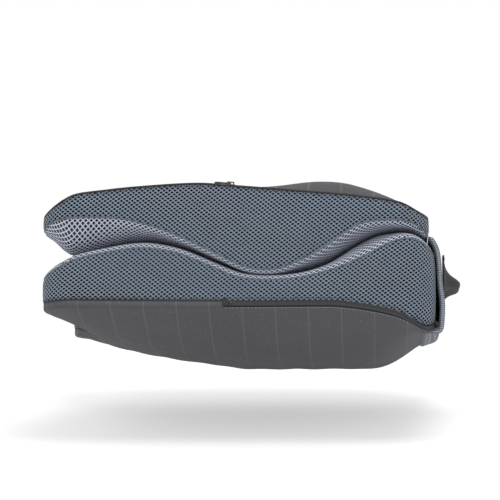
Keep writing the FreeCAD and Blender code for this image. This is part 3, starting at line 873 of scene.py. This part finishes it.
# --------------------------------------------------------------------
# Spine panel: a thick soft knit strip that joins the pads at the hinge end. Its top edge is sewn to the
# upper gusset, and its lower edge turns in under the lower pad's rim. It bends when the pads open.
# --------------------------------------------------------------------

SPINE_HALF_WIDTH = 0.140
SPINE_THICKNESS = 0.0052
SPINE_EDGE = 0.004
spine_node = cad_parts["spine_panel"].data
spine_tree = BVHTree.FromPolygons([v.co.copy() for v in spine_node.vertices],
                                  [list(p.vertices) for p in spine_node.polygons])


def spine_line(y):
    """The panel's outer side at one place across it, from its top edge down and in under the rim."""
    bottom = spine_tree.ray_cast(Vector((0.1660, y, -1.0)), Vector((0, 0, 1)))[0].z
    line = [(0.1560, 0.1205), (0.1590, 0.1178)]
    for z in np.linspace(0.1150, bottom + 0.004, 22):
        hit = spine_tree.ray_cast(Vector((1.0, y, z)), Vector((-1, 0, 0)))[0]
        line.append((hit.x + 0.0004, z))
    for x in np.linspace(0.1675, 0.1500, 8):
        hit = spine_tree.ray_cast(Vector((min(x, 0.1660), y, -1.0)), Vector((0, 0, 1)))[0]
        line.append((x, hit.z + (0.0012 if x > 0.167 else 0.0)))
    line = np.array(line)
    for _ in range(2):
        line[1:-1] = (line[:-2] + 2 * line[1:-1] + line[2:]) / 4
    return line


def make_spine():
    """A closed soft strip: the outer side, the inner side, and rounded edges all round."""
    turn = SPINE_EDGE * (1 - np.cos(np.linspace(0, np.pi / 2, 5)))
    inner = SPINE_HALF_WIDTH - SPINE_EDGE
    middle = np.linspace(-inner, inner, 61)[1:-1]
    columns = np.concatenate([turn - SPINE_HALF_WIDTH, middle, SPINE_HALF_WIDTH - turn[::-1]])
    rings, flats = [], []
    for y in columns:
        over = max(abs(y) - SPINE_HALF_WIDTH + SPINE_EDGE, 0) / SPINE_EDGE
        full = math.sqrt(max(1 - over * over, 0.0)) * SPINE_THICKNESS
        line = spine_line(float(np.clip(y, -SPINE_HALF_WIDTH + 0.001, SPINE_HALF_WIDTH - 0.001)))
        count = len(line)
        steps = np.linalg.norm(np.diff(line, axis=0), axis=1)
        along = np.concatenate([[0], np.cumsum(steps)])
        tangent = np.gradient(line, axis=0)
        tangent /= np.linalg.norm(tangent, axis=1)[:, None]
        inward = np.column_stack([tangent[:, 1], -tangent[:, 0]])
        ends = np.minimum(along, along[-1] - along) / (SPINE_THICKNESS / 2)
        taper = np.sqrt(np.clip(1 - (1 - np.clip(ends, 0, 1)) ** 2, 0.02, 1))
        middle = line + inward * SPINE_THICKNESS / 2
        outer = middle - inward * (full * taper / 2)[:, None]
        inner = middle + inward * (full * taper / 2)[:, None]
        ring = np.concatenate([outer, inner[::-1]])
        rings.append(np.column_stack([ring[:, 0], np.full(len(ring), y), ring[:, 1]]))
        reach = np.concatenate([along, 2 * along[-1] - along[::-1], [2 * along[-1]]])
        flats.append(np.column_stack([reach, np.full(len(reach), y)]))
    piece = sheet("spine_knit", np.array(rings), np.array(flats))
    work = bmesh.new()
    work.from_mesh(piece.data)
    bmesh.ops.remove_doubles(work, verts=work.verts, dist=0.00003)
    bmesh.ops.holes_fill(work, edges=[e for e in work.edges if e.is_boundary], sides=0)
    bmesh.ops.recalc_face_normals(work, faces=work.faces)
    work.to_mesh(piece.data)
    work.free()
    piece.data.shade_smooth()
    return piece


def knit_cloth():
    """Soft rib knit: rows of small loops, with painted shade between them and painted highlights on
    their crowns.
    """
    colour = (0.19, 0.21, 0.25)
    material, tree, shader = finish_cloth("spine knit", colour, 0.9, 0.1)
    place, base = vary(tree, shader, colour, 60.0, 0.15)
    waves = []
    for axis, scale in (("Y", 190.0), ("Z", 150.0)):
        waves.append(add(tree, "ShaderNodeTexWave", {"Vector": place, "Scale": scale, "Distortion": 1.2,
                                                     "Detail Scale": 2.0},
                         wave_type="BANDS", bands_direction=axis).outputs[1])
    loops = calc(tree, "MULTIPLY", waves[0], waves[1])
    # Painted shade in the valleys between loops and painted highlight on their crowns, mixed into the
    # knit's colour.
    painted_loop_shading = add(tree, "ShaderNodeMix", {0: loops, 6: (0.035, 0.04, 0.05, 1), 7: (0.40, 0.44, 0.52, 1)},
               data_type="RGBA").outputs[2]
    both = add(tree, "ShaderNodeMix", {0: 0.75, 6: base, 7: painted_loop_shading}, data_type="RGBA").outputs[2]
    tree.links.new(both, shader.inputs["Base Color"])
    bump = add(tree, "ShaderNodeBump", {"Strength": 0.7, "Distance": 0.0008, "Height": loops})
    tree.links.new(bump.outputs[0], shader.inputs["Normal"])
    return material


spine = make_spine()
own(spine, None, ["spine_panel"], knit_cloth())
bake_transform(spine)


# --------------------------------------------------------------------
# Carry handle: a loop of black webbing sewn flat to the spine panel at both ends. Towards the hand it is
# folded in on itself, so that it narrows. It lifts a little away from the panel.
# --------------------------------------------------------------------

WEBBING_HALF = 0.0195
HANDLE_Z = 0.0855
SEWN_FROM = 0.078
SEWN_TO = 0.096
SEWN_FACE = 0.1699
HANDLE_REACH = 0.1885
FOLD_HALF = 0.0035
FOLD_DEPTH = 0.011
ROUNDED = 0.35
DROOP = 0.003
WEBBING_THICKNESS = 0.0018


def make_handle():
    ys = np.linspace(-SEWN_TO, SEWN_TO, 97)
    shares = np.linspace(-1, 1, 25)
    rows = []
    for y in ys:
        t = np.clip((SEWN_FROM - abs(y)) / (SEWN_FROM - 0.022), 0, 1)
        ease = t * t * (3 - 2 * t)
        x = SEWN_FACE + (HANDLE_REACH - SEWN_FACE) * ease
        flat_z = shares * WEBBING_HALF
        arc = np.clip(np.abs(shares) / ROUNDED, 0, 1) * np.pi / 2
        fold_z = np.sign(shares) * FOLD_HALF * np.sin(arc)
        straight = np.clip(np.abs(shares) - ROUNDED, 0, 1) / (1 - ROUNDED)
        fold_x = -FOLD_HALF * (1 - np.cos(arc)) - straight * FOLD_DEPTH
        z = HANDLE_Z - DROOP * ease + flat_z * (1 - ease) + fold_z * ease
        out = x + fold_x * ease
        rows.append(np.column_stack([np.maximum(out, SEWN_FACE), np.full(len(shares), y), z]))
    rows = np.array(rows)
    faces = [(r * 25 + c, r * 25 + c + 1, (r + 1) * 25 + c + 1, (r + 1) * 25 + c)
             for r in range(len(ys) - 1) for c in range(24)]
    mesh = bpy.data.meshes.new("handle_webbing_strip")
    mesh.from_pydata([tuple(p) for p in rows.reshape(-1, 3)], [], faces)
    strip = bpy.data.objects.new("handle_webbing_strip", mesh)
    bpy.context.scene.collection.objects.link(strip)
    solid = strip.modifiers.new("thickness", "SOLIDIFY")
    solid.thickness = WEBBING_THICKNESS
    solid.offset = 0
    made = bpy.data.objects.new("handle_webbing", bpy.data.meshes.new_from_object(
        strip.evaluated_get(bpy.context.evaluated_depsgraph_get())))
    bpy.context.scene.collection.objects.link(made)
    bpy.data.objects.remove(strip)
    work = bmesh.new()
    work.from_mesh(made.data)
    bmesh.ops.recalc_face_normals(work, faces=work.faces)
    work.to_mesh(made.data)
    work.free()
    made.data.shade_smooth()
    return made


webbing = ribbed_tape("black webbing", (0.024, 0.0225, 0.0225), 210.0, "Z")
handle = make_handle()
own(handle, None, ["carry_handle", "handle_legs", "handle_ends"], webbing)
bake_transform(handle)

for side in (-1, 1):
    corners = [(0.080, -0.017), (0.0945, -0.017), (0.0945, 0.017), (0.080, 0.017)]
    box = np.array([(SEWN_FACE + 0.0012, side * y, HANDLE_Z + z) for y, z in corners])
    lay_row("handle_stitches_" + ("near" if side < 0 else "far"), "lower", (box, True),
            0.0030, (0.0006, 0.0007, 0.0020), pale_thread)


# --------------------------------------------------------------------
# Table: a pale top that slopes a little up towards the back, so that a camera below it still sees it. It
# fades out away from the cushion, lets some of the background through, and is seen from above only.
# --------------------------------------------------------------------

TABLE_SIZE = 1.6
TABLE_DROP = 0.062
TABLE_SLOPE = math.radians(12)
TABLE_CLEAR = 0.40


def make_floor():
    mesh = bpy.data.meshes.new("table")
    square = ((-1, -1), (1, -1), (1, 1), (-1, 1))
    rise = TABLE_SIZE * math.tan(TABLE_SLOPE)
    mesh.from_pydata([(x * TABLE_SIZE, y * TABLE_SIZE, y * rise - TABLE_DROP)
                      for x, y in square], [], [(0, 1, 2, 3)])
    table = bpy.data.objects.new("table", mesh)
    bpy.context.scene.collection.objects.link(table)
    material, tree, shader = finish_cloth("pale table", (0.93, 0.93, 0.93), 0.9)
    place = add(tree, "ShaderNodeTexCoord").outputs["Object"]
    far = add(tree, "ShaderNodeVectorMath", {0: place}, operation="LENGTH").outputs["Value"]
    fade = add(tree, "ShaderNodeMapRange", {0: far, 1: 0.40, 2: 0.90, 3: TABLE_CLEAR, 4: 1.0}).outputs[0]
    under = add(tree, "ShaderNodeNewGeometry").outputs["Backfacing"]
    hidden = calc(tree, "MAXIMUM", fade, under)
    clear = add(tree, "ShaderNodeBsdfTransparent").outputs[0]
    mix = add(tree, "ShaderNodeMixShader", {0: hidden, 1: shader.outputs[0], 2: clear})
    tree.links.new(mix.outputs[0], tree.nodes["Material Output"].inputs[0])
    mesh.materials.append(material)


make_floor()


# --------------------------------------------------------------------
# Light and camera: soft studio light from large lamps and an even pale surround, and a long lens level
# with the front, a little below it, looking slightly up and left.
# --------------------------------------------------------------------

def make_light(name, place, aim, size, power):
    data = bpy.data.lights.new(name, "AREA")
    data.energy = power
    data.shape = "DISK"
    data.size = size
    lamp = bpy.data.objects.new(name, data)
    lamp.location = place
    lamp.rotation_mode = "QUATERNION"
    lamp.rotation_quaternion = (Vector(aim) - Vector(place)).to_track_quat("-Z", "Y")
    bpy.context.scene.collection.objects.link(lamp)


def make_camera():
    """Level with the front, a little below it, looking slightly up and left through a long lens."""
    distance = 2.5
    turn = math.radians(2.86)
    tilt = math.radians(7.3)
    aim = Vector((-0.025, -0.170, 0.102))
    ahead = Vector((-math.sin(turn) * math.cos(tilt), math.cos(turn) * math.cos(tilt), math.sin(tilt)))
    data = bpy.data.cameras.new("camera")
    data.lens = 180
    camera = bpy.data.objects.new("camera", data)
    camera.location = aim - ahead * distance
    camera.rotation_mode = "QUATERNION"
    camera.rotation_quaternion = ahead.to_track_quat("-Z", "Y")
    bpy.context.scene.collection.objects.link(camera)
    bpy.context.scene.camera = camera


make_light("key", (0.45, -1.0, 2.1), (0, 0, 0.1), 1.2, 22)
make_light("fill", (-0.6, -2.0, 0.6), (0, 0, 0.1), 1.2, 8)
make_light("back", (0.2, 1.6, 1.6), (0, 0, 0.1), 1.2, 8)
world = bpy.data.worlds.new("studio")
world.use_nodes = True
world.node_tree.nodes["Background"].inputs[0].default_value = (1, 1, 1, 1)
world.node_tree.nodes["Background"].inputs[1].default_value = 1.0
bpy.context.scene.world = world
bpy.context.scene.view_settings.view_transform = "Standard"
make_camera()
